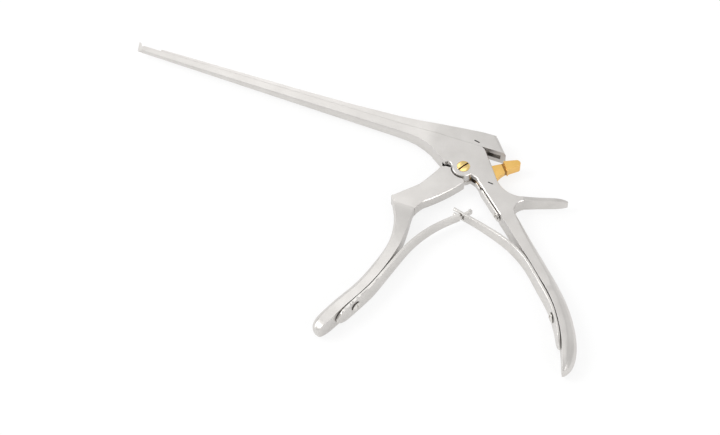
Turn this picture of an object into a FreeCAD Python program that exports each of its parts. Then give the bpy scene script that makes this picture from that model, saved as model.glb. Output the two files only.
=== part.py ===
import FreeCAD, Part
import Sketcher
import math
import os

# Detachable bone punch, lying on its side. The shaft runs along X with the jaw at -X, the sliding
# upper shaft is on the +Y side, the handles hang towards -Y and the thickness is along Z.
# The pivot axis is the Z axis and the outer face of the lower cheek lies at Z = 0. Every sub-part
# is drawn about the middle plane of the cheeks and then lifted by half the cheek width.

doc = FreeCAD.newDocument("BonePunch")
sheet = doc.addObject("Spreadsheet::Sheet", "Dimensions")


class Size:
    """A dimension: its number for the first drawing and the expression that drives it."""

    def __init__(self, number, text):
        self.number = float(number)
        self.text = text

    def __add__(self, other):
        return Size(self.number + num(other), "(%s + %s)" % (self.text, txt(other)))

    def __sub__(self, other):
        return Size(self.number - num(other), "(%s - %s)" % (self.text, txt(other)))

    def __mul__(self, other):
        return Size(self.number * num(other), "(%s * %s)" % (self.text, txt(other)))

    def __truediv__(self, other):
        return Size(self.number / num(other), "(%s / %s)" % (self.text, txt(other)))

    def __neg__(self):
        return Size(-self.number, "(-%s)" % self.text)


def num(value):
    return value.number if isinstance(value, Size) else float(value)


def txt(value):
    return value.text if isinstance(value, Size) else "(%s)" % float(value)


def sine(angle):
    return Size(math.sin(math.radians(num(angle))), "sin(%s * 1 deg)" % txt(angle))


def cosine(angle):
    return Size(math.cos(math.radians(num(angle))), "cos(%s * 1 deg)" % txt(angle))


sizes = {}


def size(name, value=None):
    """Give a dimension its row in the sheet, or return the one that has it already."""
    if value is not None:
        row = len(sizes) + 1
        sheet.set("A%d" % row, name)
        sheet.set("B%d" % row, str(value))
        sheet.setAlias("B%d" % row, name)
        sizes[name] = Size(value, "Dimensions.%s" % name)
    return sizes[name]


def bind(thing, path, value):
    thing.setExpression(path, txt(value))


def series(name, fields, rows):
    """Name the measures of a row of cross sections, such as shaft_1_width."""
    table = []
    for number, row in enumerate(rows, 1):
        entry = {}
        for field, value in zip(fields, row):
            entry[field] = size("%s_%d_%s" % (name, number, field), value)
        table.append(entry)
    return table


def corners(name, rows):
    """Name the corners of an outline; a row that has a radius and a side is reached by an arc."""
    path = []
    for number, row in enumerate(rows, 1):
        corner = (size("%s_%d_x" % (name, number), row[0]), size("%s_%d_y" % (name, number), row[1]))
        if len(row) == 4:
            corner += (size("%s_%d_radius" % (name, number), row[2]), row[3])
        path.append(corner)
    return path


# Driving dimensions in millimetres and degrees

DIMENSIONS = {
    # main sizes: pivot to foot plate, jaw opening, and pivot to the end of the longer handle
    "working_length": 180.6, "bite_opening": 11.5, "handle_reach": 113.1, "drawn_reach": 113.1,
    # cheeks, seam and general clearances
    "cheek_width": 8.8, "slot_width": 3.2, "side_play": 0.1, "seam_height": 14.5,
    "seam_gap": 0.05, "boss_radius": 5.7, "boss_gap": 0.35,
    "boss_start": -31.0, "boss_end": -165.0, "edge_break": 0.35, "running_play": 0.03,
    "seat_play": 0.02, "bore_end_air": 0.3, "cut_over": 1.0, "shaft_crown": 0.14,
    # travel
    "squeeze_angle": 35.0, "jaw_gap": 0.1,
    # jaw
    "foot_rise": 1.8, "foot_lean": 1.25, "foot_thickness": 1.0, "foot_root": 2.6,
    "foot_join": 1.9, "bite_width": 1.2, "cup_width": 0.9, "cup_length": 2.6,
    "cup_height": 0.5,
    # pivot screw
    "screw_head_diameter": 6.4, "screw_head_sink": 0.9, "screw_head_rise": 0.35,
    "screw_shank_diameter": 4.2, "screw_thread_diameter": 3.0, "screw_thread_length": 2.0,
    "screw_slot_width": 0.8, "screw_slot_depth": 0.6, "screw_slot_turn": 60.0,
    "rim_share": 0.35,
    # front handle blade and the slots in the slider
    "plate_width": 6.6, "shoulder_start": -163.0, "shoulder_end": -77.0, "blade_radius": 5.3,
    "blade_tip_radius": 2.4, "pin_height": 2.8, "drive_pin_diameter": 3.0,
    "drive_pin_length": 6.2, "groove_top": 4.8, "slot_top": 5.2, "slot_step": 2.5,
    "slider_slot_front": 0.2, "slider_slot_middle": 10.2, "slider_slot_rear": 14.4,
    "nose_radius": 1.5,
    # release lever, its pin and its spring
    "release_pin_x": 9.2, "release_pin_y": -0.8, "release_pin_diameter": 2.0,
    "release_pin_length": 8.4, "release_eye_radius": 2.3, "pad_width": 5.2,
    "release_screw_x": 24.6, "release_screw_y": -18.92, "release_screw_turn": 47.9,
    "release_spring_thickness": 0.7, "release_spring_width": 2.8, "release_spring_reach": 21.2,
    "release_spring_tail": 2.6, "release_spring_base": 5.6, "release_spring_base_reach": 17.0,
    "small_screw_head": 3.6, "small_screw_rise": 0.8,
    "small_screw_shank": 2.0, "small_screw_length": 4.0, "small_slot_width": 0.56,
    # leaf springs and their screws
    "leaf_thickness": 1.3, "leaf_air": 0.3, "seat_air": 0.12, "leaf_hole_play": 0.1,
    "tongue_width": 2.2, "tongue_head": 1.6, "tongue_reach": 7.1, "fork_width": 2.8,
    "fork_reach": 7.0, "leaf_screw_head": 5.2, "leaf_screw_rise": 1.3,
    "leaf_screw_shank": 3.0, "leaf_screw_length": 5.0, "driver_slot_depth": 0.55,
    # lugs under the slider
    "lug_length": 2.6, "lug_front_share": 0.814, "lug_front_neck": 1.0, "lug_front_head": 1.7,
    "lug_rear_share": 0.277, "lug_rear_neck": 2.0, "lug_rear_head": 3.6, "lug_neck_height": 0.9,
    "lug_head_height": 0.8, "lug_play": 0.1, "track_play": 0.3,
}
for name, value in DIMENSIONS.items():
    size(name, value)

foot = -size("working_length")
bite = foot + size("bite_opening")
stroke = size("bite_opening") - size("foot_thickness") - size("jaw_gap")
stretch = size("handle_reach") / size("drawn_reach")


def along_shaft(rows):
    """Stations of the slender shaft, given as shares of the working length."""
    for row in rows:
        row["x"] = foot * row["share"]
    return rows


def reach_out(rows):
    """Stations of a handle or leaf, drawn for one reach and stretched with it about the pivot."""
    for row in rows:
        row["x"] = row["x"] * stretch
        row["y"] = row["y"] * stretch
    return rows


def stretch_corners(path):
    """Corners of an outline that belong to a handle, stretched with its reach."""
    return [(corner[0] * stretch, corner[1] * stretch) + corner[2:] for corner in path]


def above_seam(path):
    """Corners of an outline whose heights are measured from the seam."""
    return [(corner[0], size("seam_height") + corner[1]) + corner[2:] for corner in path]


# Cross sections along the shaft: the lower rod ends at the foot plate, the upper one at its bite

shaft = along_shaft(series("shaft", ("share", "width", "lower", "upper"), (
    (0.83, 3.0, 3.6, 1.75), (0.665, 3.9, 4.0, 2.2), (0.505, 4.9, 4.4, 2.6), (0.36, 5.7, 4.9, 3.35),
    (0.22, 6.35, 5.3, 4.75))))
shaft += series("root", ("x", "width", "lower", "upper", "lower_crown"), (
    (-33.0, 6.85, 5.6, 5.4, 0.95), (-28.0, 7.5, 6.1, 5.9, 0.85), (-23.0, 8.35, 7.35, 6.5, 0.6),
    (-18.0, 8.8, 9.4, 7.1, 0.36)))
lower_end = series("lower_end", ("width", "lower"), ((2.6, 3.15),))
lower_end[0]["x"] = foot + size("foot_join")
upper_end = series("upper_end", ("width", "upper"), ((2.7, 1.3),))
upper_end[0]["x"] = bite
block = series("block", ("x", "width", "upper"), ((-9.0, 8.8, 8.3), (2.0, 8.8, 9.65), (18.0, 8.8, 10.3)))

# Cross sections of the handles: inner face at x and y, turned outwards, side faces up to side,
# then a crown up to depth

grip_fields = ("x", "y", "turn", "side", "depth", "width")
rear_grip = series("rear_grip", grip_fields, (
    (26.4, -20.6, 46.5, 7.0, 7.6, 8.8), (33.9, -27.6, 46.5, 5.6, 7.7, 8.8),
    (41.2, -34.3, 46.0, 4.7, 7.3, 8.9), (48.7, -41.4, 45.0, 4.1, 7.2, 9.7),
    (56.4, -49.1, 43.0, 3.9, 7.3, 10.8), (64.8, -57.9, 39.0, 2.9, 7.2, 11.3),
    (69.3, -64.0, 33.0, 2.7, 7.4, 11.3), (73.6, -71.3, 28.0, 2.7, 7.6, 11.3),
    (77.6, -79.8, 22.0, 2.4, 7.4, 11.3), (80.0, -86.2, 20.0, 2.1, 6.4, 10.6),
    (81.6, -90.6, 20.0, 1.6, 4.4, 8.4), (82.4, -92.6, 20.0, 0.8, 2.2, 5.4)))
reach_out(rear_grip)
front_grip = series("front_grip", grip_fields, (
    (-13.5, -29.3, 178.0, 12.9, 13.5, 6.4), (-14.4, -33.3, 177.0, 9.9, 10.6, 6.7),
    (-13.9, -39.0, 178.0, 7.1, 8.2, 8.0), (-13.3, -47.5, 179.0, 5.2, 6.7, 9.8),
    (-13.2, -56.0, 178.0, 4.9, 6.4, 10.9), (-15.0, -68.0, 167.0, 4.4, 6.8, 11.3),
    (-18.3, -80.5, 163.0, 4.1, 7.0, 11.3), (-22.75, -91.7, 158.5, 4.2, 7.3, 11.3),
    (-27.5, -103.2, 158.0, 4.7, 7.5, 11.0), (-30.2, -109.4, 158.0, 4.2, 6.9, 9.8),
    (-31.7, -112.0, 158.0, 2.9, 5.2, 7.8), (-32.5, -113.1, 158.0, 1.6, 3.4, 5.4)))
reach_out(front_grip)
spur = series("spur", grip_fields, (
    (33.0, -8.7, 112.0, 2.0, 2.4, 8.8), (37.6, -7.1, 110.0, 1.95, 2.35, 8.0),
    (46.6, -3.8, 110.0, 1.9, 2.3, 7.0), (52.2, -1.7, 110.0, 1.5, 2.0, 5.8),
    (54.7, -0.7, 110.0, 0.9, 1.3, 3.6)))

# Leaf springs: the free part on its own line, the widths of the part that lies on the handle

leaf_fields = ("x", "y", "turn", "width")
front_leaf = reach_out(series("front_leaf", leaf_fields, (
    (11.4, -20.5, -42.0, 3.1), (8.1, -24.65, -44.0, 5.1), (3.5, -29.6, -42.0, 5.4),
    (-0.7, -34.5, -38.0, 5.8), (-4.55, -40.05, -32.0, 6.5), (-8.1, -46.7, -26.0, 7.3),
    (-11.0, -54.3, -18.0, 8.3))))
rear_leaf = reach_out(series("rear_leaf", leaf_fields, (
    (3.75, -23.4, -104.0, 5.6), (8.85, -24.7, -104.0, 5.6), (14.15, -25.95, -104.0, 5.8),
    (20.7, -27.7, -106.0, 6.4), (28.25, -30.1, -110.0, 7.2), (35.8, -33.1, -115.0, 8.2),
    (42.65, -37.05, -124.0, 9.2))))
front_leaf_fixed = series("front_leaf_fixed", ("width",), ((9.8,), (10.6,), (10.8,), (10.0,), (7.4,)))
rear_leaf_fixed = series("rear_leaf_fixed", ("width",), (
    (9.8,), (10.4,), (10.8,), (10.8,), (10.8,), (9.8,), (6.8,)))

# Corners of the flat outlines

cheek_rear = above_seam(corners("cheek_top", ((4.6, 0.0), (7.2, -1.7))))
cheek_rear += corners("cheek_rear", ((17.9, -1.3), (33.5, -6.3, 14, 1), (34.5, -8.6), (31.6, -15.3, 6, 1)))
cheek_rear += stretch_corners(corners("cheek_end", ((26.8, -20.9),)))
cheek_rear += corners("cheek_inner", ((8.2, -4.1), (6.2, -3.4)))
cheek_front = corners("cheek_front", ((-6.9, 0.1), (-8.2, 0.3), (-9.5, -0.5)))
slot_corners = above_seam(corners("slot_top", ((-11.2, 1.0), (25.0, 1.0))))
slot_corners += corners("slot_low", (
    (25.0, 3.0), (19.5, -1.2), (11.5, -8.45), (10.0, -10.0), (-11.2, -10.0)))
slope_corners = above_seam(corners("slope", (
    (7.0, 12.0), (7.0, 9.86), (8.8, 9.35), (10.3, 8.03), (17.2, -0.1), (17.2, -1.5), (25.0, -1.5),
    (25.0, 12.0))))
plate_rear = corners("plate_rear", ((2.9, -6.7), (3.3, -7.8)))
plate_end = stretch_corners(corners("plate_end", (
    (-12.0, -26.6, 86, -1), (-13.6, -29.6), (-14.0, -31.2), (-24.0, -31.0), (-26.8, -29.3),
    (-26.9, -27.6, 1.0, -1))))
plate_front = corners("plate_front", ((-16.9, -16.6), (-11.0, -3.9, 100, 1), (-10.3, -2.9), (-8.6, -1.9)))
neck_corners = corners("neck", (
    (-7.4, -4.6), (-6.0, -10.0), (0.0, -11.0), (2.2, -8.0), (1.4, -4.6), (0.0, 0.0), (-4.3, -2.2)))
heel = series("heel", ("along", "across"), (
    (10.0, 3.1), (7.4, 5.2), (6.0, 5.75), (4.55, 4.45), (3.4, 3.4), (0.0, 3.0), (0.0, -3.4)))
release_corners = corners("release", (
    (7.25, 3.78), (8.2, 4.3), (16.4, 10.0), (17.4, 11.0), (20.7, 7.0), (17.5, 1.0, 12, 1),
    (16.2, -0.6), (11.2, -2.0), (10.9, -4.4), (9.9, -5.45), (8.6, -4.28), (7.8, -2.6), (6.9, -0.8),
    (6.9, 1.0), (6.1, 3.1)))
pad_corners = corners("pad", (
    (22.7, 14.2), (25.3, 11.6, 1.95, -1), (21.3, 8.0), (20.7, 6.5), (16.9, 11.2)))
doc.recompute()

seam = size("seam_height")
half_cheek = size("cheek_width") / 2
over = size("cut_over")
lean = size("squeeze_angle") / 2
pin_radius = seam + size("pin_height")
blade_width = size("slot_width") - size("side_play") * 2
leaf_thick = size("leaf_thickness")


def new_body(label):
    """A sub-part body, lifted so that the lower cheek rests on Z = 0."""
    body = doc.addObject("PartDesign::Body", label)
    body.Label = label
    bind(body, "Placement.Base.z", half_cheek)
    return body


def plane(body, role):
    return [item for item in body.Origin.OriginFeatures if item.Role == role][0]


def new_sketch(body, name, role="XY_Plane"):
    sketch = body.newObject("Sketcher::SketchObject", name)
    sketch.AttachmentSupport = [(plane(body, role), "")]
    sketch.MapMode = "FlatFace"
    return sketch


def hold(sketch, constraint, value):
    """Add a constraint that follows a named dimension."""
    index = sketch.addConstraint(constraint)
    sketch.setExpression("Constraints[%d]" % index, txt(value))


def pin_point(sketch, element, end, point):
    """Hold one end of an element at named coordinates."""
    hold(sketch, Sketcher.Constraint("DistanceX", -1, 1, element, end, num(point[0])), point[0])
    hold(sketch, Sketcher.Constraint("DistanceY", -1, 1, element, end, num(point[1])), point[1])


def add_arc(sketch, centre, radius, first, last):
    """Arc that runs anticlockwise from its first end to its last."""
    begin = math.atan2(first.y - centre.y, first.x - centre.x)
    finish = math.atan2(last.y - centre.y, last.x - centre.x)
    if finish < begin:
        finish += 2 * math.pi
    circle = Part.Circle(centre, FreeCAD.Vector(0, 0, 1), radius)
    return sketch.addGeometry(Part.ArcOfCircle(circle, begin, finish), False)


def outline(sketch, path):
    """Closed outline that starts at its last corner; a corner with a radius is reached by an arc."""
    here = path[-1]
    first = None
    last = None
    for step in path:
        p = FreeCAD.Vector(num(here[0]), num(here[1]), 0)
        q = FreeCAD.Vector(num(step[0]), num(step[1]), 0)
        if len(step) == 2:
            element = sketch.addGeometry(Part.LineSegment(p, q), False)
            ends = (1, 2)
        else:
            radius, side = num(step[2]), step[3]
            half = (q - p) / 2
            rise = math.sqrt(max(radius ** 2 - half.Length ** 2, 0.0))
            across = FreeCAD.Vector(-half.y, half.x, 0).normalize()
            centre = p + half + across * rise * side
            element = add_arc(sketch, centre, radius, p if side > 0 else q, q if side > 0 else p)
            ends = (1, 2) if side > 0 else (2, 1)
            hold(sketch, Sketcher.Constraint("Radius", element, radius), step[2])
        if last is None:
            first = (element, ends[0])
        else:
            sketch.addConstraint(Sketcher.Constraint("Coincident", last[0], last[1], element, ends[0]))
        pin_point(sketch, element, ends[0], here)
        last = (element, ends[1])
        here = step
    sketch.addConstraint(Sketcher.Constraint("Coincident", last[0], last[1], first[0], first[1]))


def extrude(body, name, kind, sketch, length):
    """Pad or pocket of a sketch by the given width, half of it to each side."""
    feature = body.newObject("PartDesign::" + kind, name)
    feature.Profile = sketch
    feature.SideType = "Symmetric"
    bind(feature, "Length", length)
    doc.recompute()
    return feature


def slab(body, name, width, path, cut=False):
    """A symmetric slab of the given width, or a cut of that width, from an outline in the XY plane."""
    sketch = new_sketch(body, name + "_outline")
    outline(sketch, path)
    return extrude(body, name, "Pocket" if cut else "Pad", sketch, width)


def cut_between(body, name, low, high, path):
    """Cut an outline of the XY plane away between two heights from the middle plane."""
    sketch = new_sketch(body, name + "_outline")
    bind(sketch, "AttachmentOffset.Base.z", low)
    outline(sketch, path)
    return sink(body, name, sketch, high - low)


def sink(body, name, sketch, depth):
    feature = body.newObject("PartDesign::Pocket", name)
    feature.Profile = sketch
    feature.Reversed = True
    bind(feature, "Length", depth)
    doc.recompute()
    return feature


def ring(body, name, x, y, diameter):
    """Sketch of one circle in the XY plane."""
    sketch = new_sketch(body, name + "_circle")
    circle = Part.Circle(FreeCAD.Vector(num(x), num(y), 0), FreeCAD.Vector(0, 0, 1), num(diameter) / 2)
    element = sketch.addGeometry(circle, False)
    pin_point(sketch, element, 3, (x, y))
    hold(sketch, Sketcher.Constraint("Diameter", element, num(diameter)), diameter)
    return sketch


def rod(body, name, x, y, diameter, length):
    """Round rod along Z, centred on the middle plane."""
    return extrude(body, name, "Pad", ring(body, name, x, y, diameter), length)


def drill(body, name, x, y, diameter, low, high):
    """Round hole along Z between two heights measured from the middle plane."""
    sketch = ring(body, name, x, y, diameter)
    bind(sketch, "AttachmentOffset.Base.z", low)
    return sink(body, name, sketch, high - low)


def placed_sketch(body, name, x, y, turn):
    """Sketch that stands on the middle plane: its first axis points along turn, its second along Z."""
    sketch = new_sketch(body, name, "XZ_Plane")
    where = "placement(vector(%s; 0; %s); rotation(vector(0; 1; 0); %s))"
    sketch.setExpression("AttachmentOffset", where % (txt(x), txt(y * -1), txt(turn)))
    return sketch


def strip_section(body, name, x, y, angle, thick, width):
    """Plain rectangular cross section of a leaf spring at (x, y)."""
    sketch = placed_sketch(body, name, x, y, angle)
    half = width / 2
    outline(sketch, box(0, -half, thick, half))
    return sketch


def section(body, name, x, y, angle, flat, crest, width):
    """Cross section at (x, y): flat on the reference side, square up to flat, then arched to crest."""
    sketch = placed_sketch(body, name, x, y, angle)
    half, low = num(width) / 2, num(flat)
    ends = [FreeCAD.Vector(*p) for p in ((0, -half, 0), (0, half, 0), (low, half, 0), (low, -half, 0))]
    sketch.addGeometry(Part.LineSegment(ends[0], ends[1]), False)
    sketch.addGeometry(Part.LineSegment(ends[1], ends[2]), False)
    rise = crest - flat
    radius = (width * width / 4 + rise * rise) / (rise * 2)
    centre = crest - radius
    add_arc(sketch, FreeCAD.Vector(num(centre), 0, 0), num(radius), ends[3], ends[2])
    sketch.addGeometry(Part.LineSegment(ends[3], ends[0]), False)
    for pair in ((0, 2, 1, 1), (1, 2, 2, 2), (2, 1, 3, 1), (3, 2, 0, 1)):
        sketch.addConstraint(Sketcher.Constraint("Coincident", *pair))
    for kind, element in (("Vertical", 0), ("Horizontal", 1), ("Horizontal", 3)):
        sketch.addConstraint(Sketcher.Constraint(kind, element))
    sketch.addConstraint(Sketcher.Constraint("Symmetric", 0, 1, 0, 2, -1, 1))
    sketch.addConstraint(Sketcher.Constraint("Equal", 1, 3))
    hold(sketch, Sketcher.Constraint("Distance", 0, num(width)), width)
    hold(sketch, Sketcher.Constraint("Distance", 1, low), flat)
    hold(sketch, Sketcher.Constraint("DistanceX", -1, 1, 2, 3, num(centre)), centre)
    return sketch


def loft(body, name, sketches, straight=False):
    feature = body.newObject("PartDesign::AdditiveLoft", name)
    feature.Profile = sketches[0]
    feature.Sections = sketches[1:]
    feature.Ruled = straight
    doc.recompute()
    return feature


def grip(body, name, table):
    """Loft through sections that stand across a handle, each with its own position and size."""
    sketches = []
    for number, row in enumerate(table, 1):
        sketches.append(section(body, "%s_section_%d" % (name, number), row["x"], row["y"], row["turn"],
                                row["side"], row["depth"], row["width"]))
    return loft(body, name, sketches)


def shaft_rod(body, name, rows, measure, seam_line, turn):
    """Loft along the shaft from the seam towards one side of it."""
    sketches = []
    for number, row in enumerate(rows, 1):
        crown = row.get(measure + "_crown", row["width"] * size("shaft_crown"))
        sketches.append(section(body, "%s_section_%d" % (name, number), row["x"], seam_line, turn,
                                row[measure] - crown, row[measure], row["width"]))
    return loft(body, name, sketches, straight=True)


def edges_of(shape, wanted):
    """Names of the edges whose two ends and middle pass the test."""
    names = []
    for number, edge in enumerate(shape.Edges, 1):
        spots = [vertex.Point for vertex in edge.Vertexes]
        spots.append(edge.valueAt((edge.FirstParameter + edge.LastParameter) / 2))
        if len(spots) == 3 and all(wanted(spot) for spot in spots):
            names.append("Edge%d" % number)
    return names


def dress(body, name, kind, amount, wanted):
    """Break the edges that pass the test with a chamfer or a round."""
    tip = body.Tip
    feature = body.newObject("PartDesign::" + kind, name)
    feature.Base = (tip, edges_of(tip.Shape, wanted))
    bind(feature, "Size" if kind == "Chamfer" else "Radius", amount)
    doc.recompute()
    return feature


def turned(body, name, x, y, turn, path, cut=False, about="H_Axis"):
    """A turned shape, or a turned bore, about an axis of a placed sketch."""
    sketch = placed_sketch(body, name + "_profile", x, y, turn)
    outline(sketch, path)
    feature = body.newObject("PartDesign::Groove" if cut else "PartDesign::Revolution", name)
    feature.Profile = sketch
    feature.ReferenceAxis = (sketch, [about])
    feature.Angle = 360
    doc.recompute()
    return feature


def bore_row(body, name, row, diameter, depth):
    """Threaded bore that runs into a handle square to its inner face."""
    path = box(-over, 0, depth, diameter / 2)
    return turned(body, name, row["x"], row["y"], row["turn"], path, cut=True)


def at_angle(radius, angle):
    return (cosine(angle) * radius, sine(angle) * radius)


def box(x1, y1, x2, y2):
    """Corners of a rectangle."""
    return [(x2, y1), (x2, y2), (x1, y2), (x1, y1)]


def size_row(name):
    return {field: size("%s_%s" % (name, field)) for field in ("x", "y", "turn")}


def cut_tracks(body):
    """Undercut tracks for the two lugs of the slider, each with an exit behind it."""
    play = size("lug_play")
    for place in ("front", "rear"):
        start = foot * size("lug_%s_share" % place)
        front = start - stroke - size("track_play")
        back = start + size("lug_length") + size("track_play")
        exit_back = back + size("lug_length") + size("track_play") * 2
        neck = size("lug_%s_neck" % place) + play * 2
        head = size("lug_%s_head" % place) + play * 2
        ledge = seam - size("lug_neck_height") + play
        floor = seam - size("lug_neck_height") - size("lug_head_height") - play
        slab(body, place + "_track_neck", neck, box(front, floor, back, seam + over), cut=True)
        slab(body, place + "_track", head, box(front, floor, back, ledge), cut=True)
        slab(body, place + "_track_exit", head, box(back, floor, exit_back, seam + over), cut=True)


def drill_pivot(body):
    """Seat for the screw head in the upper cheek, shank bore, and a blind thread in the lower cheek."""
    play = size("seat_play") * 2
    drill(body, "screw_seat", 0, 0, size("screw_head_diameter") + play,
          half_cheek - size("screw_head_sink"), half_cheek + over)
    drill(body, "screw_bore", 0, 0, size("screw_shank_diameter") + play, size("side_play"), half_cheek)
    drill(body, "screw_thread", 0, 0, size("screw_thread_diameter"),
          -size("slot_width") / 2 - size("screw_thread_length") - size("seam_gap"), size("side_play"))


def build_frame():
    """Lower shaft with foot plate, the two cheeks, the spur and the rear handle in one forging."""
    body = new_body("frame")
    boss = size("boss_radius")
    cheek_x = shaft[-1]["x"]
    boss_arc = [at_angle(boss, size("boss_start")), at_angle(boss, size("boss_end")) + (boss, -1)]
    slab(body, "cheek_plate", size("cheek_width"),
         cheek_rear + boss_arc + cheek_front
         + [(cheek_x, seam - shaft[-1]["lower"]), (cheek_x, seam)])
    face = num(half_cheek)
    dress(body, "cheek_edges", "Chamfer", size("edge_break"),
          lambda p: abs(abs(p.z) - face) < 0.001 and p.y < num(seam) - 0.001 and p.x > num(cheek_x) + 0.001)
    shaft_rod(body, "lower_shaft", lower_end + shaft, "lower", seam, -90)
    low = seam - lower_end[0]["lower"]
    tip_x = foot - size("foot_lean")
    foot_top = seam + size("foot_rise")
    slab(body, "foot_plate", size("bite_width"), [
        (tip_x, foot_top), (tip_x + size("foot_thickness"), foot_top),
        (foot + size("foot_thickness"), seam), (foot + size("foot_root"), seam),
        (foot + size("foot_root"), low), (foot, low)])
    grip(body, "rear_handle", rear_grip)
    grip(body, "thumb_spur", spur)
    slab(body, "lever_slot", size("slot_width"), slot_corners, cut=True)
    cut_tracks(body)
    drill_pivot(body)
    pin_end = size("release_pin_length") / 2
    drill(body, "release_pin_bore", size("release_pin_x"), size("release_pin_y"),
          size("release_pin_diameter"), -pin_end, pin_end)
    bore_row(body, "rear_leaf_thread", rear_grip[6], size("leaf_screw_shank"), size("leaf_screw_length"))
    bore_row(body, "release_thread", size_row("release_screw"), size("small_screw_shank"),
             size("small_screw_length"))
    return body


def build_slider():
    """Upper shaft: slides on the lower one, with the lever slot in its rear block."""
    body = new_body("upper_shaft")
    under = seam + size("seam_gap")
    shaft_rod(body, "upper_rod", upper_end + shaft + block, "upper", under, 90)
    slab(body, "rear_slope", size("cheek_width") + over * 2, slope_corners, cut=True)
    slope_front = num(slope_corners[0][0])
    slope_top = num(slope_corners[1][1])
    face = num(half_cheek)
    dress(body, "nose_rounds", "Fillet", size("nose_radius"),
          lambda p: p.x >= slope_front and num(seam) < p.y < slope_top - 0.1 and abs(p.z) > face - 0.01)
    low = seam - over
    front, middle, rear = [size("slider_slot_" + place) for place in ("front", "middle", "rear")]
    slab(body, "lever_slot", size("slot_width"), [
        (rear, low), (rear, seam + size("slot_step")), (middle, seam + size("slot_step")),
        (middle, seam + size("slot_top")), (front, seam + size("slot_top")), (front, low)], cut=True)
    groove = sine(lean) * pin_radius
    side = size("drive_pin_diameter") / 2 + size("side_play")
    slab(body, "pin_groove", size("drive_pin_length") + size("side_play") * 2,
         box(groove - side, low, groove + side, seam + size("groove_top")), cut=True)
    for place in ("front", "rear"):
        start = foot * size("lug_%s_share" % place)
        end = start + size("lug_length")
        ledge = seam - size("lug_neck_height")
        slab(body, place + "_lug_neck", size("lug_%s_neck" % place),
             box(start, ledge - size("lug_play"), end, seam + size("lug_neck_height")))
        slab(body, place + "_lug_head", size("lug_%s_head" % place),
             box(start, ledge - size("lug_head_height"), end, ledge))
    slab(body, "bite_cup", size("cup_width"),
         box(bite - over, low, bite + size("cup_length"), under + size("cup_height")), cut=True)
    return body


def blade_point(along, across):
    """Point of the lever blade from its distance along and across the blade, at rest."""
    return (sine(lean) * along + cosine(lean) * across, cosine(lean) * along - sine(lean) * across)


def build_front_handle():
    """Front handle: the blade that reaches up between the cheeks, the plate and the grip."""
    body = new_body("front_handle")
    shoulder = size("boss_radius") + size("boss_gap")
    start = at_angle(shoulder, size("shoulder_start"))
    hollow = at_angle(shoulder, size("shoulder_end")) + (shoulder, 1)
    slab(body, "handle_plate", size("plate_width"),
         [hollow] + plate_rear + plate_end + plate_front + [start])
    face = num(size("plate_width")) / 2
    low = num(plate_end[1][1])
    dress(body, "plate_edges", "Chamfer", size("edge_break"),
          lambda p: abs(abs(p.z) - face) < 0.001 and p.y > low + 0.4)
    rod(body, "blade_disc", 0, 0, size("blade_radius") * 2, blade_width)
    slab(body, "blade_neck", blade_width, neck_corners)
    tip = size("blade_tip_radius")
    slab(body, "blade_arm", blade_width, [
        blade_point(pin_radius, -tip), blade_point(pin_radius + tip, 0) + (tip, -1),
        blade_point(pin_radius, tip) + (tip, -1)]
         + [blade_point(row["along"], row["across"]) for row in heel])
    grip(body, "front_grip", front_grip)
    drill(body, "pivot_bore", 0, 0, size("screw_shank_diameter") + size("running_play") * 2, -blade_width,
          blade_width)
    x, y = blade_point(pin_radius, 0)
    drill(body, "drive_pin_bore", x, y, size("drive_pin_diameter"), -blade_width, blade_width)
    bore_row(body, "front_leaf_thread", front_grip[7], size("leaf_screw_shank"), size("leaf_screw_length"))
    return body


def leaf_back(row):
    """Back line of a leaf where it lies on a handle: the inner face with a hair of air."""
    air = size("leaf_air")
    return (row["x"] - cosine(row["turn"]) * air, row["y"] - sine(row["turn"]) * air, row["turn"] + 180)


def midway(row, other):
    return {field: (row[field] + other[field]) / 2 for field in ("x", "y", "turn")}


def build_leaf(label, free, rows, widths, screw):
    """Leaf spring: free part on its own line, fixed part on the inner face of its handle."""
    body = new_body(label)
    fixed = rows[:-1] + [midway(rows[-2], rows[-1]), rows[-1]]
    sketches = []
    for number, row in enumerate(free, 1):
        sketches.append(strip_section(body, "%s_free_%d" % (label, number), row["x"], row["y"], row["turn"],
                                      leaf_thick, row["width"]))
    for number, (row, wide) in enumerate(zip(fixed, widths), 1):
        x, y, turn = leaf_back(row)
        sketches.append(strip_section(body, "%s_fixed_%d" % (label, number), x, y, turn, leaf_thick,
                                      wide["width"]))
    loft(body, label + "_strip", sketches)
    x, y, turn = leaf_back(screw)
    hole = size("leaf_screw_shank") / 2 + size("leaf_hole_play")
    turned(body, "screw_hole", x, y, turn, box(-over, 0, leaf_thick + over, hole), cut=True)
    return body


def cut_tongue(body, row):
    """Narrow tongue behind a crosswise head at the free end of the front leaf."""
    head = size("tongue_head")
    reach = size("tongue_reach")
    clear = leaf_thick * 3
    turn = row["turn"]

    def point(along, across):
        return (row["x"] + sine(turn) * along + cosine(turn) * across,
                row["y"] - cosine(turn) * along + sine(turn) * across)

    path = [point(reach, -clear), point(reach, clear), point(head, clear), point(head, -clear)]
    half = size("tongue_width") / 2
    cut_between(body, "tongue_near_side", half, row["width"], path)
    cut_between(body, "tongue_far_side", -row["width"], -half, path)
    return body


def cut_fork(body, row):
    """Open slot at the free end of the rear leaf, for the tongue."""
    turn = row["turn"]
    reach = size("fork_reach")
    clear = leaf_thick * 3

    def point(along, across):
        return (row["x"] - sine(turn) * along + cosine(turn) * across,
                row["y"] + cosine(turn) * along + sine(turn) * across)

    slab(body, "fork_slot", size("fork_width"),
         [point(reach, -clear), point(reach, clear), point(-over, clear), point(-over, -clear)], cut=True)
    return body


def dome_radius(radius, height):
    return (radius * radius + height * height) / (height * 2)


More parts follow.
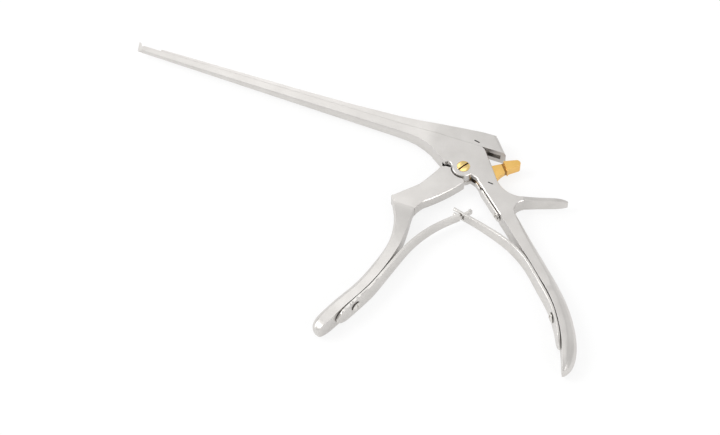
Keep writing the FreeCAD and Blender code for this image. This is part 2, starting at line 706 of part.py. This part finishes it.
def build_screw(label, row, seat, head, rise, shank, length, slot):
    """Domed screw that enters a handle square to its inner face, seated at a height above it."""
    body = new_body(label)
    radius = head / 2
    rim = rise * size("rim_share")
    x = row["x"] - cosine(row["turn"]) * seat
    y = row["y"] - sine(row["turn"]) * seat
    turn = row["turn"] + 180
    end = -(length + seat - size("bore_end_air"))
    turned(body, "screw_body", x, y, turn, [
        (rise, 0), (rim, radius, dome_radius(radius, rise - rim), 1), (0, radius), (0, shank / 2),
        (end, shank / 2), (end, 0)])
    sketch = placed_sketch(body, "driver_slot_outline", x, y, turn)
    outline(sketch, box(rise - size("driver_slot_depth"), -radius - over, rise + over, radius + over))
    extrude(body, "driver_slot", "Pocket", sketch, slot)
    return body


def build_pivot_screw():
    """Pivot screw: domed head sunk in the upper cheek, plain shank, thread in the lower cheek."""
    body = new_body("pivot_screw")
    top = half_cheek + size("screw_head_rise")
    radius = size("screw_head_diameter") / 2
    rim = half_cheek + size("screw_head_rise") * size("rim_share")
    under = half_cheek - size("screw_head_sink")
    shank = size("screw_shank_diameter") / 2
    thread = size("screw_thread_diameter") / 2
    step = -size("slot_width") / 2 + size("seat_play")
    end = step - size("screw_thread_length")
    turned(body, "screw_body", 0, 0, 0, [
        (0, top), (radius, rim, dome_radius(radius, top - rim), -1), (radius, under), (shank, under),
        (shank, step), (thread, step), (thread, end), (0, end)], about="V_Axis")
    half = size("screw_slot_width") / 2
    turn = size("screw_slot_turn")
    long = radius + over
    path = []
    for along, across in ((1, 1), (-1, 1), (-1, -1), (1, -1)):
        path.append((cosine(turn) * long * along - sine(turn) * half * across,
                     sine(turn) * long * along + cosine(turn) * half * across))
    cut_between(body, "driver_slot", top - size("screw_slot_depth"), top + over, path)
    return body


def build_release_lever():
    """Release lever: tooth under the heel of the blade, eye on its pin, tail and finger pad."""
    body = new_body("release_lever")
    x, y = size("release_pin_x"), size("release_pin_y")
    slab(body, "lever_plate", blade_width, release_corners)
    rod(body, "lever_eye", x, y, size("release_eye_radius") * 2, blade_width)
    slab(body, "finger_pad", size("pad_width"), pad_corners)
    drill(body, "pin_hole", x, y, size("release_pin_diameter") + size("running_play") * 2, -blade_width,
          blade_width)
    return body


def build_release_spring():
    """Flat spring on the inner face of the rear handle: a broad base under the screw, and a narrow
    free end that enters the slot and bears on the tail of the lever."""
    body = new_body("release_spring")
    row = size_row("release_screw")
    turn = row["turn"]
    air = size("leaf_air")
    top = air + size("release_spring_thickness")
    free = -size("release_spring_reach")
    tail = size("release_spring_tail")

    def point(along, out):
        return (row["x"] + sine(turn) * along - cosine(turn) * out,
                row["y"] - cosine(turn) * along - sine(turn) * out)

    slab(body, "spring_strip", size("release_spring_width"),
         [point(tail, air), point(tail, top), point(free, top), point(free, air)])
    broad = -size("release_spring_base_reach")
    slab(body, "spring_base", size("release_spring_base"),
         [point(tail, air), point(tail, top), point(broad, top), point(broad, air)])
    hole = size("small_screw_shank") / 2 + size("leaf_hole_play")
    turned(body, "screw_hole", row["x"], row["y"], turn, box(-over * 3, 0, over, hole), cut=True)
    return body


def build_pin(label, x, y, diameter, length):
    body = new_body(label)
    rod(body, "pin_rod", x, y, diameter, length)
    return body


def save_parts(bodies):
    os.makedirs("parts", exist_ok=True)
    doc.recompute()
    for thing in doc.Objects:
        if "Invalid" in thing.State or "Error" in thing.State:
            raise RuntimeError("%s did not compute" % thing.Label)
    for body in bodies:
        if body.Shape.isNull() or not body.Shape.isValid():
            raise RuntimeError("%s has no valid shape" % body.Label)
        if len(body.Shape.Solids) != 1:
            raise RuntimeError("%s is in %d pieces" % (body.Label, len(body.Shape.Solids)))
        body.Shape.exportStep("parts/%s.step" % body.Label)


leaf_seat = size("leaf_air") + leaf_thick + size("seat_air")
leaf_screw = (leaf_seat, size("leaf_screw_head"), size("leaf_screw_rise"), size("leaf_screw_shank"),
              size("leaf_screw_length"), size("screw_slot_width"))
small_seat = size("leaf_air") + size("release_spring_thickness")
small_screw = (small_seat, size("small_screw_head"), size("small_screw_rise"), size("small_screw_shank"),
               size("small_screw_length"), size("small_slot_width"))
pin_x, pin_y = blade_point(pin_radius, 0)

bodies = [
    build_frame(),
    build_slider(),
    build_front_handle(),
    build_pin("drive_pin", pin_x, pin_y, size("drive_pin_diameter"), size("drive_pin_length")),
    build_pivot_screw(),
    build_release_lever(),
    build_pin("release_lever_pin", size("release_pin_x"), size("release_pin_y"),
              size("release_pin_diameter"), size("release_pin_length")),
    build_release_spring(),
    build_screw("release_spring_screw", size_row("release_screw"), *small_screw),
    cut_tongue(build_leaf("front_leaf_spring", front_leaf, front_grip[5:9], front_leaf_fixed,
                          front_grip[7]), front_leaf[0]),
    build_screw("front_leaf_screw", front_grip[7], *leaf_screw),
    cut_fork(build_leaf("rear_leaf_spring", rear_leaf, rear_grip[3:9], rear_leaf_fixed, rear_grip[6]),
             rear_leaf[0]),
    build_screw("rear_leaf_screw", rear_grip[6], *leaf_screw),
]
save_parts(bodies)
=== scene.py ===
import math
import bpy
import bmesh
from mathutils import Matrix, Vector


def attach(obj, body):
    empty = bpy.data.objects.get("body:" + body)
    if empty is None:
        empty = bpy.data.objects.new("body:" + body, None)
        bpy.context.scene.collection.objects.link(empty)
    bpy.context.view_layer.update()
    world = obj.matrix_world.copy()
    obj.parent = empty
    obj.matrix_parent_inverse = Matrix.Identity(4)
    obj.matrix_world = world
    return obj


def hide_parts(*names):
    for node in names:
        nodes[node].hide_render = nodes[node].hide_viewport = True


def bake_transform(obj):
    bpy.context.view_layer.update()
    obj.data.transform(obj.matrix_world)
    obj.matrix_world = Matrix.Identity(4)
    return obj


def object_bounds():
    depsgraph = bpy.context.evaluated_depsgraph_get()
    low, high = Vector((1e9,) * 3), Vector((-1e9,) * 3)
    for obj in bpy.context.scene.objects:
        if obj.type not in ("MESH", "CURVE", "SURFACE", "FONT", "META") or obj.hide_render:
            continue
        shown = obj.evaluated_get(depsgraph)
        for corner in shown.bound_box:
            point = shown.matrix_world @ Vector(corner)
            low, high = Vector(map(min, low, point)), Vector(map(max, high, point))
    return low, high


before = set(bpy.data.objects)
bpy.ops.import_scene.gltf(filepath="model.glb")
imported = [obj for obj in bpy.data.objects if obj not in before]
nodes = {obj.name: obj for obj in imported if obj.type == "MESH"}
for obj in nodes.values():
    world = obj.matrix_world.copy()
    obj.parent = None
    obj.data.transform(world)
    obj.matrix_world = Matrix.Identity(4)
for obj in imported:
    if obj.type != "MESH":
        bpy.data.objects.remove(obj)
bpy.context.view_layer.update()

scene = bpy.context.scene
MM = 0.001
FACE_HEIGHT = 8.8

# View of the photograph: direction, lens, and the pixel on which the pivot's near end lies

FRAME_SIZE = (720, 435)
AZIMUTH = math.radians(21.0)
ELEVATION = math.radians(56.0)
SENSOR = 36.0
FOCAL_PIXELS = 2520.0
PIVOT_PIXEL = (463.5, 166.3)
PIVOT_DISTANCE = 1242.4 * MM
NEAR_CLIP = 0.01
FAR_CLIP = 20.0
PIVOT_TOP = Vector((0.0, 0.0, FACE_HEIGHT * MM))


def make_camera():
    """Camera at the photograph's angle, placed so that the pivot falls on its pixel."""
    ca, sa = math.cos(AZIMUTH), math.sin(AZIMUTH)
    ce, se = math.cos(ELEVATION), math.sin(ELEVATION)
    back = Vector((sa * ce, -ca * ce, se))
    right = Vector((ca, sa, 0.0))
    up = back.cross(right)
    dx = (PIVOT_PIXEL[0] - FRAME_SIZE[0] / 2) / FOCAL_PIXELS
    dy = (FRAME_SIZE[1] / 2 - PIVOT_PIXEL[1]) / FOCAL_PIXELS
    data = bpy.data.cameras.new("camera")
    data.sensor_width = SENSOR
    data.lens = FOCAL_PIXELS / FRAME_SIZE[0] * SENSOR
    data.clip_start = NEAR_CLIP
    data.clip_end = FAR_CLIP
    camera = bpy.data.objects.new("camera", data)
    scene.collection.objects.link(camera)
    camera.location = PIVOT_TOP + (back - right * dx - up * dy) * PIVOT_DISTANCE
    camera.rotation_euler = back.to_track_quat("Z", "Y").to_euler()
    scene.camera = camera


def node_tree(owner):
    owner.use_nodes = True
    tree = owner.node_tree
    tree.nodes.clear()
    return tree


def add(tree, kind, **values):
    """Add a shader node; values name its properties, or its inputs where it has no such property."""
    item = tree.nodes.new(kind)
    for key, value in values.items():
        if hasattr(item, key):
            setattr(item, key, value)
        else:
            item.inputs[key.replace("_", " ")].default_value = value
    return item


def ramp(tree, stops, source):
    item = add(tree, "ShaderNodeValToRGB")
    elements = item.color_ramp.elements
    while len(elements) > 1:
        elements.remove(elements[-1])
    for number, (where, colour) in enumerate(stops):
        element = elements[0] if number == 0 else elements.new(where)
        element.position = where
        element.color = tuple(colour) + (1.0,)
    tree.links.new(source, item.inputs["Fac"])
    return item.outputs["Color"]


# Metals: size and share of the clouds and the speckle, spread of the gloss, depth of the grain, and the
# painted shade of slots and corners, whose fade is in millimetres and whose core and edge are shares of
# the half width

CLOUD_SCALE = 110.0
SPECKLE_SHARE = 0.45
DARK_STOP, LIGHT_STOP = 0.34, 0.66
ROUGH_BELOW, ROUGH_ABOVE = 0.06, 0.08
GRAIN_DEPTH = 0.0001
SLOT_PAINTED_SHADE = (0.075, 0.035, 0.018)
SLOT_SHADE_FADE = 0.06
SHADE_LINE_CORE, SHADE_LINE_EDGE = 0.55, 1.2


def lay_painted_shade(tree, unshaded_share, shade_tint, colour):
    """Lay painted shade over a colour; the first argument is the share of the colour that stays
    unshaded.
    """
    mix = add(tree, "ShaderNodeMix", data_type="RGBA")
    mix.inputs[6].default_value = shade_tint + (1.0,)
    tree.links.new(unshaded_share, mix.inputs[0])
    tree.links.new(colour, mix.inputs[7])
    return mix.outputs[2]


def metal(name, dark, light, rough, grain, direction=(1.0, 1.0, 1.0), bump=0.1, slot_shade_height=None, shade_lines=()):
    """Satin metal: cloudy colour with a fine speckle, and a directional grain in gloss and surface.
    The slot shade height is a height in millimetres under which the metal is painted dark, as painted
    shade in a slot. Each row of the shade lines is a dark line of painted shade in a corner: direction
    across it, its place along that direction and its half width in millimetres, and its colour."""
    material = bpy.data.materials.new(name)
    tree = node_tree(material)
    link = tree.links.new
    place = add(tree, "ShaderNodeTexCoord").outputs["Object"]
    clouds = add(tree, "ShaderNodeTexNoise", Scale=CLOUD_SCALE, Detail=3.0)
    link(place, clouds.inputs["Vector"])
    stretch = add(tree, "ShaderNodeMapping")
    stretch.inputs["Scale"].default_value = direction
    link(place, stretch.inputs["Vector"])
    fine = add(tree, "ShaderNodeTexNoise", Scale=grain, Detail=4.0, Roughness=0.65)
    link(stretch.outputs["Vector"], fine.inputs["Vector"])
    both = add(tree, "ShaderNodeMix", data_type="FLOAT")
    both.inputs[0].default_value = SPECKLE_SHARE
    link(clouds.outputs["Fac"], both.inputs[2])
    link(fine.outputs["Fac"], both.inputs[3])
    shader = add(tree, "ShaderNodeBsdfPrincipled")
    shader.inputs["Metallic"].default_value = 1.0
    colour = ramp(tree, ((DARK_STOP, dark), (LIGHT_STOP, light)), both.outputs[0])
    if slot_shade_height:
        height = add(tree, "ShaderNodeSeparateXYZ")
        link(place, height.inputs["Vector"])
        low = add(tree, "ShaderNodeMapRange")
        low.inputs["From Min"].default_value = (slot_shade_height - SLOT_SHADE_FADE) * MM
        low.inputs["From Max"].default_value = (slot_shade_height + SLOT_SHADE_FADE) * MM
        link(height.outputs["Z"], low.inputs["Value"])
        colour = lay_painted_shade(tree, low.outputs["Result"], SLOT_PAINTED_SHADE, colour)
    for across, where, half, shade_tint in shade_lines:
        along = add(tree, "ShaderNodeVectorMath", operation="DOT_PRODUCT")
        link(place, along.inputs[0])
        along.inputs[1].default_value = across
        off = add(tree, "ShaderNodeMath", operation="SUBTRACT")
        link(along.outputs["Value"], off.inputs[0])
        off.inputs[1].default_value = where * MM
        away = add(tree, "ShaderNodeMath", operation="ABSOLUTE")
        link(off.outputs[0], away.inputs[0])
        share = add(tree, "ShaderNodeMapRange")
        share.inputs["From Min"].default_value = half * SHADE_LINE_CORE * MM
        share.inputs["From Max"].default_value = half * SHADE_LINE_EDGE * MM
        link(away.outputs[0], share.inputs["Value"])
        colour = lay_painted_shade(tree, share.outputs["Result"], shade_tint, colour)
    link(colour, shader.inputs["Base Color"])
    spread = add(tree, "ShaderNodeMapRange")
    spread.inputs["To Min"].default_value = rough - ROUGH_BELOW
    spread.inputs["To Max"].default_value = rough + ROUGH_ABOVE
    link(fine.outputs["Fac"], spread.inputs["Value"])
    link(spread.outputs["Result"], shader.inputs["Roughness"])
    relief = add(tree, "ShaderNodeBump")
    relief.inputs["Strength"].default_value = bump
    relief.inputs["Distance"].default_value = GRAIN_DEPTH
    link(fine.outputs["Fac"], relief.inputs["Height"])
    link(relief.outputs["Normal"], shader.inputs["Normal"])
    out = add(tree, "ShaderNodeOutputMaterial")
    link(shader.outputs["BSDF"], out.inputs["Surface"])
    return material


BRIGHT = ((0.66, 0.64, 0.61), (0.76, 0.74, 0.71), 0.2, 4000.0)
# Painted shade: a dark grey line on each leaf screw where its head seats.
GREY_SEAT_SHADE = (0.12, 0.11, 0.10)
# Painted shade: a brown band across the release lever at the step from its neck to its pad.
BROWN_STEP_SHADE = (0.33, 0.17, 0.045)
# Painted shade: the pivot screw is painted dark below this height, down in its slot.
SCREW_SLOT_FLOOR = 8.84
FRONT_HEAD_SEAT_SHADE = ((0.930, -0.366, 0.0), 14.15, 0.35, GREY_SEAT_SHADE)
REAR_HEAD_SEAT_SHADE = ((-0.839, -0.545, 0.0), -21.55, 0.35, GREY_SEAT_SHADE)
PAD_STEP_SHADE = ((0.778, 0.629, 0.0), 19.55, 0.62, BROWN_STEP_SHADE)

steel = metal("satin_steel", (0.61, 0.59, 0.568), (0.69, 0.67, 0.648), 0.34, 2600.0)
spring_steel = metal("spring_steel", (0.63, 0.61, 0.585), (0.71, 0.69, 0.665), 0.28, 2400.0,
                     direction=(1.0, 1.0, 5.0))
bright_steel = metal("bright_steel", *BRIGHT)
front_screw_steel = metal("front_screw_steel", *BRIGHT, shade_lines=(FRONT_HEAD_SEAT_SHADE,))
rear_screw_steel = metal("rear_screw_steel", *BRIGHT, shade_lines=(REAR_HEAD_SEAT_SHADE,))
gold = metal("gold_tone_metal", (0.83, 0.50, 0.14), (0.92, 0.60, 0.20), 0.32, 3000.0, shade_lines=(PAD_STEP_SHADE,))
gold_screw = metal("gold_tone_screw", (0.86, 0.60, 0.22), (0.95, 0.72, 0.32), 0.16, 3000.0, bump=0.05,
                   slot_shade_height=SCREW_SLOT_FLOOR)
ink = metal("etched_mark", (0.02, 0.019, 0.018), (0.04, 0.038, 0.036), 0.6, 5000.0)

FINISHES = {
    "pivot_screw": gold_screw, "release_lever": gold, "front_leaf_screw": front_screw_steel,
    "rear_leaf_screw": rear_screw_steel, "release_spring_screw": bright_steel,
}
for name, thing in nodes.items():
    thing.data.materials.clear()
    thing.data.materials.append(FINISHES.get(name, steel))


WELD_DISTANCE = 0.000002
FLAT_ANGLE = math.radians(0.2)
EDGE_ANGLE = math.radians(28.0)
EDGE_SEGMENTS = 2
NORMAL_WEIGHT = 80


def soften(thing, width):
    """Break the sharp edges of a piece with a small round."""
    weld = thing.modifiers.new("weld", "WELD")
    weld.merge_threshold = WELD_DISTANCE
    flat = thing.modifiers.new("flat", "DECIMATE")
    flat.decimate_type = "DISSOLVE"
    flat.angle_limit = FLAT_ANGLE
    bevel = thing.modifiers.new("edges", "BEVEL")
    bevel.limit_method = "ANGLE"
    bevel.angle_limit = EDGE_ANGLE
    bevel.width = width
    bevel.segments = EDGE_SEGMENTS
    bevel.use_clamp_overlap = True
    normals = thing.modifiers.new("normals", "WEIGHTED_NORMAL")
    normals.weight = NORMAL_WEIGHT
    normals.keep_sharp = False


EDGE_WIDTHS = {
    "frame": 0.4, "front_handle": 0.45, "upper_shaft": 0.35, "pivot_screw": 0.08,
    "release_lever": 0.4, "front_leaf_screw": 0.08, "rear_leaf_screw": 0.08,
    "release_spring_screw": 0.06,
}
for name, width in EDGE_WIDTHS.items():
    soften(nodes[name], width * MM)

# Leaf springs: back line, direction of the thickness and width at each station, in millimetres

LEAF_THICK = 1.3
LEAF_MIDDLE = 4.4
LEAF_END = 7.0
LEAF_EDGE_SHARE = 0.15
END_ROUNDNESS = 2.4
END_NARROWEST = 0.25
END_THINNING = 0.55
CUT_BEHIND, CUT_BEFORE = -3.0, 4.5
FRONT_LEAF = (
    (11.4, -20.5, -42.0, 2.7), (8.1, -24.65, -44.0, 5.1), (3.5, -29.6, -42.0, 5.4),
    (-0.7, -34.5, -38.0, 5.8), (-4.55, -40.05, -32.0, 6.5), (-8.1, -46.7, -26.0, 7.3),
    (-11.0, -54.3, -18.0, 8.3), (-14.71, -68.07, -13.0, 9.8), (-18.01, -80.59, -17.0, 10.6),
    (-22.47, -91.81, -21.5, 10.8), (-24.85, -97.56, -21.8, 10.3), (-27.22, -103.31, -22.0, 9.0))
REAR_LEAF = (
    (3.75, -23.4, -104.0, 5.6), (8.85, -24.7, -104.0, 5.6), (14.15, -25.95, -104.0, 5.8),
    (20.7, -27.7, -106.0, 6.4), (28.25, -30.1, -110.0, 7.2), (35.8, -33.1, -115.0, 8.2),
    (42.65, -37.05, -124.0, 9.2), (48.49, -41.61, -135.0, 9.8), (56.18, -49.3, -137.0, 10.4),
    (64.57, -58.09, -141.0, 10.8), (69.05, -64.16, -147.0, 10.8), (73.34, -71.44, -152.0, 10.8),
    (75.33, -75.68, -155.0, 10.2), (77.32, -79.91, -158.0, 8.5))


def along_stations(rows, steps):
    """Stations on a smooth line through the given ones, with the distance from the free end."""
    line = []
    for index in range(len(rows) - 1):
        around = [rows[max(0, min(len(rows) - 1, index + shift))] for shift in (-1, 0, 1, 2)]
        for step in range(steps):
            t = step / steps
            row = []
            for a, b, c, d in zip(*around):
                row.append(0.5 * (2 * b + (c - a) * t + (2 * a - 5 * b + 4 * c - d) * t * t
                                  + (3 * b - a - 3 * c + d) * t ** 3))
            line.append(row)
    line.append(list(rows[-1]))
    walked = 0.0
    for index, row in enumerate(line):
        if index:
            walked += math.dist(row[:2], line[index - 1][:2])
        row.append(walked)
    return line


def mesh_object(name, vertices, faces):
    mesh = bpy.data.meshes.new(name)
    mesh.from_pydata([Vector(vertex) * MM for vertex in vertices], [], faces)
    work = bmesh.new()
    work.from_mesh(mesh)
    bmesh.ops.recalc_face_normals(work, faces=work.faces)
    work.to_mesh(mesh)
    work.free()
    mesh.shade_smooth()
    thing = bpy.data.objects.new(name, mesh)
    scene.collection.objects.link(thing)
    return thing


def strip(name, line, thick, rounded):
    """Leaf of the given line: a rectangular section swept along it and closed at both ends. Over its
    last stretch it narrows to a rounded, thinner end."""
    vertices, faces = [], []
    total = line[-1][4]
    for x, y, turn, width, walked in line:
        across = (math.cos(math.radians(turn)), math.sin(math.radians(turn)))
        late = max(0.0, 1.0 - (total - walked) / rounded)
        half = width / 2 * max(END_NARROWEST, math.sqrt(1.0 - late ** END_ROUNDNESS))
        top = thick * (1.0 - END_THINNING * late ** 2)
        for out, side in ((0.0, -half), (0.0, half), (top, half), (top, -half)):
            vertices.append((x + across[0] * out, y + across[1] * out, LEAF_MIDDLE + side))
    for ring in range(len(line) - 1):
        base = ring * 4
        for corner in range(4):
            after = (corner + 1) % 4
            faces.append((base + corner, base + after, base + 4 + after, base + 4 + corner))
    faces.append((3, 2, 1, 0))
    last = len(vertices) - 4
    faces.append((last, last + 1, last + 2, last + 3))
    return mesh_object(name, vertices, faces)


def block_between(name, line, first, last, low, high):
    """Cutter around a stretch of a leaf, between two heights from its middle plane."""
    part = [row for row in line if first <= row[4] <= last]
    step = math.dist(line[0][:2], line[1][:2])
    beyond = max(0.0, -first) / step
    vertices = []
    for row, push in ((part[0], beyond), (part[-1], 0.0)):
        across = (math.cos(math.radians(row[2])), math.sin(math.radians(row[2])))
        x = row[0] + (line[0][0] - line[1][0]) * push
        y = row[1] + (line[0][1] - line[1][1]) * push
        for out, side in ((CUT_BEHIND, low), (CUT_BEHIND, high), (CUT_BEFORE, high), (CUT_BEFORE, low)):
            vertices.append((x + across[0] * out, y + across[1] * out, LEAF_MIDDLE + side))
    faces = [(0, 1, 5, 4), (1, 2, 6, 5), (2, 3, 7, 6), (3, 0, 4, 7), (3, 2, 1, 0), (4, 5, 6, 7)]
    return mesh_object(name, vertices, faces)


def carve(thing, cutters):
    """Take the cutters away from a piece and keep the result as its mesh."""
    for cutter in cutters:
        cut = thing.modifiers.new("cut", "BOOLEAN")
        cut.operation = "DIFFERENCE"
        cut.solver = "EXACT"
        cut.object = cutter
    bpy.context.view_layer.update()
    graph = bpy.context.evaluated_depsgraph_get()
    mesh = bpy.data.meshes.new_from_object(thing.evaluated_get(graph))
    thing.modifiers.clear()
    thing.data = mesh
    for cutter in cutters:
        bpy.data.objects.remove(cutter, do_unlink=True)


def make_leaf(name, rows, cuts, thick=LEAF_THICK, rounded=LEAF_END, steps=8):
    """Leaf spring, held on its handle at one end, swept as a smooth curve to its free end; it stands in
    for the
    CAD piece of the leaf's own name, which is hidden. Each cut is a stretch from the free end and two
    heights."""
    line = along_stations(rows, steps)
    leaf = strip(name + "_bent", line, thick, rounded)
    carve(leaf, [block_between("cutter", line, *cut) for cut in cuts])
    leaf.data.materials.clear()
    leaf.data.materials.append(spring_steel)
    soften(leaf, LEAF_EDGE_SHARE * thick * MM)
    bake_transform(leaf)
    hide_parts(name)


make_leaf("front_leaf_spring", FRONT_LEAF, ((1.5, 7.2, 1.1, 6.0), (1.5, 7.2, -6.0, -1.1)))
make_leaf("rear_leaf_spring", REAR_LEAF, ((-1.0, 7.0, -1.4, 1.4),))

# Release spring: place and slope of its screw, air under it, its width at places along the slope

RELEASE_SCREW = (24.6, -18.92)
RELEASE_SLOPE = math.radians(47.9)
RELEASE_TURN = -132.1
RELEASE_AIR = 0.3
RELEASE_THICK = 0.7
RELEASE_END = 2.0
RELEASE_WIDTHS = (
    (-21.2, 2.8), (-18.2, 2.8), (-17.0, 2.9), (-15.6, 5.4), (-14.0, 5.6), (-9.0, 5.6), (-3.0, 5.6),
    (0.0, 5.6), (2.6, 5.0))


def release_rows():
    """Stations of the release spring, from its free end in the slot to its tail under the screw."""
    sine, cosine = math.sin(RELEASE_SLOPE), math.cos(RELEASE_SLOPE)
    rows = []
    for along, width in RELEASE_WIDTHS:
        rows.append((RELEASE_SCREW[0] + sine * along - cosine * RELEASE_AIR,
                     RELEASE_SCREW[1] - cosine * along - sine * RELEASE_AIR, RELEASE_TURN, width))
    return rows


make_leaf("release_spring", release_rows(), (),
          thick=RELEASE_THICK, rounded=RELEASE_END, steps=4)


MARK_WIDTH = 0.58
MARK_DEPTH = 0.03


def make_mark(name, body, ends):
    """Short dark mark on the near face, a hair proud of it, with rounded ends."""
    (x1, y1), (x2, y2) = ends
    turn = math.atan2(y2 - y1, x2 - x1)
    outline = []
    for centre, first in (((x2, y2), -90), ((x1, y1), 90)):
        for step in range(7):
            angle = turn + math.radians(first + step * 30)
            outline.append((centre[0] + math.cos(angle) * MARK_WIDTH / 2,
                            centre[1] + math.sin(angle) * MARK_WIDTH / 2))
    count = len(outline)
    vertices = [(x, y, FACE_HEIGHT - MARK_DEPTH) for x, y in outline]
    vertices += [(x, y, FACE_HEIGHT + MARK_DEPTH) for x, y in outline]
    faces = [tuple(range(count)), tuple(range(count, count * 2))]
    faces += [(k, (k + 1) % count, count + (k + 1) % count, count + k) for k in range(count)]
    mark = mesh_object(name, vertices, faces)
    mark.data.materials.append(ink)
    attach(mark, body)


make_mark("slider_mark", "upper_shaft", ((0.0, 16.9), (2.4, 16.42)))
make_mark("handle_mark", "frame", ((14.6, -4.62), (16.9, -4.86)))


FLOOR_REACH = 6.0
FLOOR_AIR = 0.1 * MM
FLOOR_GLOW = 0.8
FLOOR_SHINE = 0.5


def make_floor():
    """White table: it takes the shadow, and the camera and the metal see it close to white."""
    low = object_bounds()[0][2] - FLOOR_AIR
    mesh = bpy.data.meshes.new("floor")
    mesh.from_pydata([(x * FLOOR_REACH, y * FLOOR_REACH, low)
                      for x, y in ((-1, -1), (1, -1), (1, 1), (-1, 1))], [], [(0, 1, 2, 3)])
    floor = bpy.data.objects.new("floor", mesh)
    scene.collection.objects.link(floor)
    material = bpy.data.materials.new("floor_white")
    tree = node_tree(material)
    link = tree.links.new
    noise = add(tree, "ShaderNodeTexNoise", Scale=40.0, Detail=2.0)
    link(add(tree, "ShaderNodeTexCoord").outputs["Object"], noise.inputs["Vector"])
    paper = add(tree, "ShaderNodeBsdfDiffuse")
    link(ramp(tree, ((0.3, (0.90, 0.90, 0.90)), (0.7, (0.92, 0.92, 0.92))), noise.outputs["Fac"]),
         paper.inputs["Color"])
    glow = add(tree, "ShaderNodeEmission")
    path = add(tree, "ShaderNodeLightPath")
    shine = add(tree, "ShaderNodeMath", operation="MULTIPLY")
    link(path.outputs["Is Glossy Ray"], shine.inputs[0])
    shine.inputs[1].default_value = FLOOR_SHINE
    seen = add(tree, "ShaderNodeMath", operation="MULTIPLY_ADD")
    link(path.outputs["Is Camera Ray"], seen.inputs[0])
    seen.inputs[1].default_value = FLOOR_GLOW
    link(shine.outputs[0], seen.inputs[2])
    mix = add(tree, "ShaderNodeMixShader")
    link(seen.outputs[0], mix.inputs["Fac"])
    link(paper.outputs["BSDF"], mix.inputs[1])
    link(glow.outputs["Emission"], mix.inputs[2])
    out = add(tree, "ShaderNodeOutputMaterial")
    link(mix.outputs["Shader"], out.inputs["Surface"])
    mesh.materials.append(material)


def area_light(name, spot, target, size, watts):
    """Rectangular lamp that looks at the target."""
    data = bpy.data.lights.new(name, "AREA")
    data.shape = "RECTANGLE"
    data.size, data.size_y = size
    data.energy = watts
    lamp = bpy.data.objects.new(name, data)
    scene.collection.objects.link(lamp)
    lamp.location = spot
    lamp.rotation_euler = (Vector(spot) - Vector(target)).to_track_quat("Z", "Y").to_euler()


SKY_LOW, SKY_HIGH = -0.2, 1.0
SKY_GREYS = ((0.0, 0.72), (0.3, 0.72), (0.6, 0.72), (0.87, 0.70), (1.0, 0.88))


def make_world():
    """Soft studio: light grey all round, brighter overhead, plain white to the camera."""
    world = bpy.data.worlds.new("studio")
    scene.world = world
    tree = node_tree(world)
    link = tree.links.new
    aim = add(tree, "ShaderNodeTexCoord").outputs["Generated"]
    split = add(tree, "ShaderNodeSeparateXYZ")
    link(aim, split.inputs["Vector"])
    height = add(tree, "ShaderNodeMapRange")
    height.inputs["From Min"].default_value = SKY_LOW
    height.inputs["From Max"].default_value = SKY_HIGH
    link(split.outputs["Z"], height.inputs["Value"])
    stops = [(where, (grey, grey, grey)) for where, grey in SKY_GREYS]
    sky = ramp(tree, stops, height.outputs["Result"])
    soft = add(tree, "ShaderNodeBackground")
    link(sky, soft.inputs["Color"])
    white = add(tree, "ShaderNodeBackground")
    path = add(tree, "ShaderNodeLightPath")
    mix = add(tree, "ShaderNodeMixShader")
    link(path.outputs["Is Camera Ray"], mix.inputs["Fac"])
    link(soft.outputs["Background"], mix.inputs[1])
    link(white.outputs["Background"], mix.inputs[2])
    out = add(tree, "ShaderNodeOutputWorld")
    link(mix.outputs["Shader"], out.inputs["Surface"])


# Lamps: name, place, target, width and height, watts

LAMPS = (
    ("key", (-0.8, -0.3, 0.95), (-0.05, 0.0, 0.0), (0.5, 0.5), 5.6),
    ("fill", (0.9, -0.5, 0.7), (0.0, -0.04, 0.0), (0.5, 0.5), 3.2),
    ("rim", (0.5, 1.05, 0.55), (0.07, -0.06, 0.0), (0.9, 0.9), 0.5),
    ("edge", (-1.1, -0.38, 0.22), (0.0, -0.03, 0.0), (0.35, 0.7), 3.0),
    ("shaft_glow", (-0.26, 0.29, 0.43), (-0.13, 0.016, 0.0), (0.2, 0.2), 0.135),
    ("grip_glow", (-0.06, 0.10, 0.42), (0.03, -0.08, 0.0), (0.2, 0.2), 0.1),
)

make_camera()
make_floor()
make_world()
for row in LAMPS:
    area_light(*row)
scene.view_settings.view_transform = "Standard"
